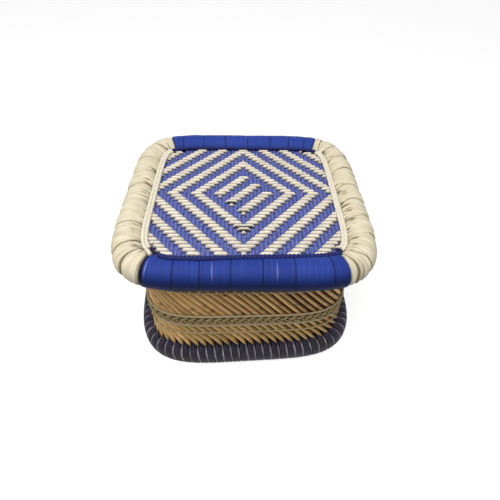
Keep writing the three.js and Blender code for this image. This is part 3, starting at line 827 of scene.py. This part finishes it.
leaf = fibre_finish(
    "split_palm_leaf", (paint(174, 160, 128), paint(221, 211, 187), paint(242, 236, 219)),
    fibre_length=42, fibre_width=1.0, roughness=0.75, relief=0.3,
    mark_paints=(paint(92, 84, 56), paint(178, 166, 112)),
)
for side, marks in band_marks.items():
    random = np.random.default_rng(leaf_seeds[side])
    middle = rim_outline.length * (3 / 4 if side == "left" else 1 / 4)
    half = rim_outline.length / 4 - blue_half_length - binding_gap
    edges = np.array([-half - 30, *marks, half + 30], float)
    step = -band_step if side == "left" else band_step

    def band_lift(along, angle, rings):
        """The bands' crowns, the grooves where they overlap, and the leaf's fibres and gathers."""
        wobble = smooth_noise(random, len(edges), len(angle), 6, 0.4) * band_waver
        over_top = (np.mod(angle + math.pi / 2, 2 * math.pi) - 0.2) / 0.5
        lean = 5 * np.cos(angle - 0.6) + 14 * np.exp(-over_top ** 2)
        lift = np.zeros((rings, len(angle)))
        seam = np.zeros((rings, len(angle)))
        strength = np.clip(0.8 + 0.4 * smooth_noise(random, len(edges), len(angle), 5, 0.4), 0.2, 1.15)
        for column in range(len(angle)):
            here = edges + wobble[:, column] + lean[column]
            band = np.clip(np.searchsorted(here, along[:, 0]) - 1, 0, len(here) - 2)
            width = here[band + 1] - here[band]
            share = (along[:, 0] - here[band]) / width
            into = np.minimum(share, 1 - share) * width
            nearest = band + (share > 0.5)
            groove_width = 0.8 + 0.7 * max(0, math.cos(angle[column]))
            groove = np.exp(-(into / groove_width) ** 2) * strength[nearest, column]
            crown = band_crown * (1 - np.abs(2 * share - 1) ** 3) - band_crown
            lift[:, column] = crown + step * (0.5 - share) - band_groove * groove
            seam[:, column] = groove
        fibres = smooth_noise(random, rings, len(angle), 9, 1.6) * leaf_relief
        broad = smooth_noise(random, rings, len(angle), 7, 6) * leaf_swelling
        inner = np.exp(-((angle - gather_angle) / gather_width) ** 2)
        gathers = np.clip(smooth_noise(random, rings, len(angle), 12, 1.5) - 0.6, 0, 2) * inner
        bright = 1 + 0.03 * fibres / leaf_relief + 0.02 * broad
        # Shade is painted into the grooves where the bands overlap and into the gathers, as the dark mark.
        mark = np.clip(seam * 1.1 + gathers * 1.3, 0, 0.95)
        return lift + fibres * (0.6 + inner) + broad - gathers * gather_depth, (bright, mark, 0.15)

    points, along, angle, tone = roll_piece(middle, half, leaf_ring_step, band_lift, leaf_end_drop)
    strand = stacked(angle * rim_radius, along, 1.0 if side == "left" else 2.0)
    node = f"rim_wrap_{side}"
    binding = make_piece(f"{node}_leaf", points, leaf, strand, tone)
    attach(binding, "root")
    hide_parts(node)


# Rim bindings at the front and back. Blue thread is wound close and smooth round the rim in
# sections, with a faint dark seam where one section meets the next and a few pale threads.
seam_places = {
    "front": (-99.8, -63.4, -20.2, 24.5, 68.6, 119.8),
    "back": (-121, -88, -52, -7, 36, 79, 122),
}
pale_places = {"front": (-134.3, -45.9, 43.5), "back": (-101, 21)}
thread_seeds = {"front": 13, "back": 17}
thread_levels = {"front": 1, "back": 1.12}
thread_level_spread = 0.035
seam_half_width = 1.2
seam_depth = 0.5
seam_mark = 0.7
pale_half_width = 0.7
pale_mark = 0.7
shaded_end = -135.2
shaded_loss = 0.5
lowest_tone = 0.3
thread_pitch = 1.3
thread_relief = 0.1
thread_swelling = 0.18
thread_end_drop = 3
thread_ring_step = 0.42
blue_thread = fibre_finish(
    "blue_thread", (paint(32, 48, 119), paint(40, 60, 136), paint(52, 74, 156)),
    fibre_length=60, fibre_width=0.7, roughness=0.5, relief=0.12, gloss=0.07,
    mark_paints=(paint(16, 24, 50), paint(150, 150, 220)),
)
for side, seams in seam_places.items():
    random = np.random.default_rng(thread_seeds[side])
    middle = rim_outline.length * (0 if side == "front" else 1 / 2)

    def thread_lift(along, angle, rings):
        """The thread's fine ridges, pressed in at the seams, its seams and pale threads, and painted shade
        on its underside and on the front roll's left end.
        """
        lift = thread_relief * np.cos(along / thread_pitch * 2 * math.pi) + 0 * angle
        lift = lift + smooth_noise(random, rings, len(angle), 5, 14) * thread_swelling
        wobble = smooth_noise(random, 16, len(angle), 4, 0.4) * 0.5
        seam = np.zeros_like(lift)
        for number, place in enumerate(seams):
            seam += np.exp(-((along - place - wobble[number]) / seam_half_width) ** 2)
        pale = np.zeros_like(lift)
        on_top = np.exp(-((angle - 1.0) / 0.5) ** 2)
        for number, place in enumerate(pale_places[side]):
            pale += np.exp(-((along - place - wobble[number + 8]) / pale_half_width) ** 2) * on_top
        # Shade is painted on the front roll's left end, beside the leaf binding.
        shaded = np.clip(shaded_end - along, 0, 1 if side == "front" else 0)
        section = np.searchsorted(np.array(seams), along[:, 0])
        levels = random.normal(thread_levels[side], thread_level_spread, len(seams) + 1)
        # Shade is painted on the roll's underside: the thread darkens as its surface turns down, to
        # lowest_tone.
        turned_up = np.clip(np.arcsin(np.sin(angle)) + 0.5 * np.clip(-np.cos(angle), 0, 1), 0, 1)
        underside_shade = lowest_tone + (1 - lowest_tone) * eased(turned_up)
        bright = levels[section][:, None] + 0.02 * smooth_noise(random, rings, len(angle), 6, 1.2)
        bright = bright * underside_shade * (1 - shaded_loss * shaded)
        # The dark mark holds the seams and the painted shade at the left end.
        dark = np.maximum(np.clip(seam, 0, 1) * seam_mark, shaded)
        return lift - seam_depth * seam, (bright, dark, np.clip(pale, 0, 1) * pale_mark)

    points, along, angle, tone = roll_piece(
        middle, blue_half_length - binding_gap, thread_ring_step, thread_lift, thread_end_drop)
    strand = stacked(angle * rim_radius, along, 3.0 if side == "front" else 4.0)
    node = f"rim_wrap_{side}"
    binding = make_piece(f"{node}_thread", points, blue_thread, strand, tone)
    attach(binding, "root")
    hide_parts(node)


# Front ends of the blue cords. Past the seat's front edge the cotton cords climb the roll's inner
# flank side by side, pressed against the thread, and end under the front rope.
front_rope_places = (-124, -110, -62, -8, 47, 80, 110)
front_rope_insets = (12, 7, 6.5, 10.5, 14.5, 16.5, 18)
climb_start = math.radians(168)
climb_half_width = warp_pitch * 0.47
climb_half_height = 1.5
climb_stand_off = 0.9
climb_steps = 14
climb_reach = 128
climb_stray = 0.15


def front_line(along):
    """The front rope's inset, which runs up on to the roll towards the left."""
    return np.interp(along, front_rope_places, front_rope_insets)


climb_random = np.random.default_rng(37)
climb_angle = ring_angles(cord_ring_points)
eighth = len(rim_outline.x) // 8
climbs = []
for number in range(-warps, warps + 1):
    column = number * warp_pitch + weave_centre[0]
    if abs(column) > climb_reach:
        continue
    from_middle = np.interp(abs(column), rim_outline.x[:eighth], rim_outline.travel[:eighth])
    along = math.copysign(from_middle, column)
    climb_end = math.acos(-(front_line(along) - 1) / (rim_radius + climb_stand_off))
    climb = np.linspace(climb_start, climb_end, climb_steps)[:, None]
    radius = rim_radius + climb_stand_off + climb_half_height * np.sin(climb_angle)
    across = climb_half_width * np.cos(climb_angle) + climb_random.normal(0, climb_stray)
    points = rim_outline.place(along + across, radius * np.cos(climb), rim_height + radius * np.sin(climb))
    strand = stacked(rim_radius * climb, across * fibre_stretch, number * strand_jump)
    tone = stacked(climb_random.normal(0.94, 0.05) + 0 * climb * climb_angle, 0.0, 0.0)
    climbs.append((points, strand, tone))
points, strand, tone = joined(climbs)
front_ends = make_piece("seat_warp_front_ends", points, blue_cord, strand, tone)
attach(front_ends, "root")


# Edge cords. Cord covers the ends of the woven cords along each edge of the seat, tucked against
# the roll: one thick navy rope beside the thread, and a cream plait of two cords beside the leaf,
# twisted opposite ways.
edge_cord_gap = 0.4
edge_cord_step = 1.0
edge_cord_points = 14
edge_cord_height = 231.6
front_rope_radius = 4.6
front_rope_sunk = 3.6
front_rope_cut = (37, 14)
back_rope_radius = 3.2
back_rope_inset = 26.4
rope_lay = 12
rope_groove_shade = 2.2
plaited_radius = 3.1
plaited_inset = 26.4
plaited_half_spacing = 0.8 * plaited_radius
plaited_lay = 11
plaited_groove_shade = 0.4
navy_cord = fibre_finish(
    "navy_cord", (paint(10, 17, 66), paint(20, 31, 106), paint(38, 54, 142)),
    fibre_length=6, fibre_width=0.9, roughness=0.7, relief=0.35,
    mark_paints=(paint(8, 10, 44), paint(70, 76, 170)),
)
pale_edge_cord = fibre_finish(
    "pale_edge_cord", (paint(200, 188, 160), paint(236, 228, 208), paint(250, 246, 236)),
    fibre_length=6, fibre_width=0.9, roughness=0.85, relief=0.35,
    mark_paints=(paint(120, 112, 90), paint(150, 140, 110)),
)


def against_roll(inset, radius):
    """Height of a cord's middle where it is pressed on to the roll's inner flank at an inset."""
    return rim_height + np.sqrt((rim_radius + radius - front_rope_sunk) ** 2 - inset ** 2)


edge_lines = {
    "front": [(front_line, front_rope_radius, rope_lay)],
    "back": [(steady(back_rope_inset), back_rope_radius, rope_lay)],
    "right": [(steady(plaited_inset - plaited_half_spacing), plaited_radius, -plaited_lay),
              (steady(plaited_inset + plaited_half_spacing), plaited_radius, plaited_lay)],
}
edge_lines["left"] = edge_lines["right"]
for number, side in enumerate(sides):
    half = rim_outline.length / 8 - edge_cord_gap
    middle = rim_outline.length * number / 4
    left_cut, right_cut = front_rope_cut if side == "front" else (0, 0)
    cords = []
    for line, radius, lay in edge_lines[side]:
        level = steady(edge_cord_height)
        if side == "front":
            level = lambda along: against_roll(line(along - middle), radius)
        cords.append(laid_cord(
            rim_outline.place, 2 * half - (left_cut + right_cut), lambda along: -line(along - middle),
            level, radius, lay, edge_cord_step, edge_cord_points, first=middle - half + left_cut))
    points, strand, tone = joined(cords)
    # Shade is painted in the grooves between the plies, in the dark mark; the plait keeps half of the
    # darkening there.
    if len(cords) == 1:
        tone[..., 1] = (1 - tone[..., 0]) * rope_groove_shade
    else:
        tone[..., 1] = (1 - tone[..., 0]) * plaited_groove_shade
        tone[..., 0] = 0.5 + 0.5 * tone[..., 0]
    node = f"edge_cord_{side}"
    material = navy_cord if len(cords) == 1 else pale_edge_cord
    edge = make_piece(f"{node}_laid", points, material, strand, tone)
    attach(edge, "root")
    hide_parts(node)


# Tufts at the seat's front corners. The blue cords end there in short dark threads that stick up
# beside the edge cords.
tuft_places = ((-134, -138), (139, -132))
tuft_height = 229
tuft_threads = 34
tuft_spread = 7
tuft_half_wide = 2.2
tuft_half_deep = 3.5
thread_radius = 0.55
thread_rings = 5
thread_points = 5
dark_tuft = fibre_finish(
    "dark_tuft", (paint(28, 20, 44), paint(50, 36, 76), paint(84, 66, 120)),
    fibre_length=4, fibre_width=0.5, roughness=0.9, relief=0.1,
)
random = np.random.default_rng(23)
ring_angle = ring_angles(thread_points)
grown = np.linspace(0, 1, thread_rings)[:, None]
radius = thread_radius * (1 - 0.6 * grown)
threads = []
for number in range(tuft_threads * len(tuft_places)):
    x, y = tuft_places[number // tuft_threads]
    root_x, root_y = x + random.normal(0, tuft_half_wide), y + random.normal(0, tuft_half_deep)
    lean_x, lean_y = random.normal(0, tuft_spread / 2), random.normal(2, tuft_spread / 2)
    rise = random.uniform(1.5, 5) * grown
    points = np.stack([root_x + lean_x * grown ** 1.5 + radius * np.cos(ring_angle),
                       root_y + lean_y * grown ** 1.5 + radius * np.sin(ring_angle),
                       tuft_height + rise + 0 * ring_angle], -1)
    threads.append((points, stacked(grown * 8, ring_angle, number * 1.7)))
points, strand = joined(threads)
tufts = make_piece("seat_corner_tufts", points, dark_tuft, strand)
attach(tufts, "root")


# Loose ends of cream cord. One lies over each of the seat's front corners, where the cream plait
# is tied off, and arches a little between the seat and the roll.
loose_end_lay = 6
loose_end_step = 0.5
loose_end_points = 10
loose_ends = {
    "left": dict(start=(-140.5, -144, 235.2), finish=(-131.5, -162, 243.6), radius=3.3, hump=2.2),
    "right": dict(start=(139, -138, 235.5), finish=(131, -136, 234), radius=1.9, hump=1.5),
}
for side, end in loose_ends.items():
    start, finish = np.array(end["start"]), np.array(end["finish"])
    reach = np.linalg.norm(finish - start)

    def on_loose_end(along, outwards, height):
        """Points round the line of the loose cord end."""
        share = along / reach
        aside = np.array([start[1] - finish[1], finish[0] - start[0], 0]) / reach
        line = start + share[..., None] * (finish - start)
        line[..., 2] += end["hump"] * np.sin(share * math.pi) + height
        return line + outwards[..., None] * aside

    points, strand, tone = laid_cord(
        on_loose_end, reach, steady(0), steady(0), end["radius"], loose_end_lay, loose_end_step,
        loose_end_points)
    loose_end = make_piece(f"seat_loose_end_{side}", points, pale_edge_cord, strand, tone)
    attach(loose_end, "root")
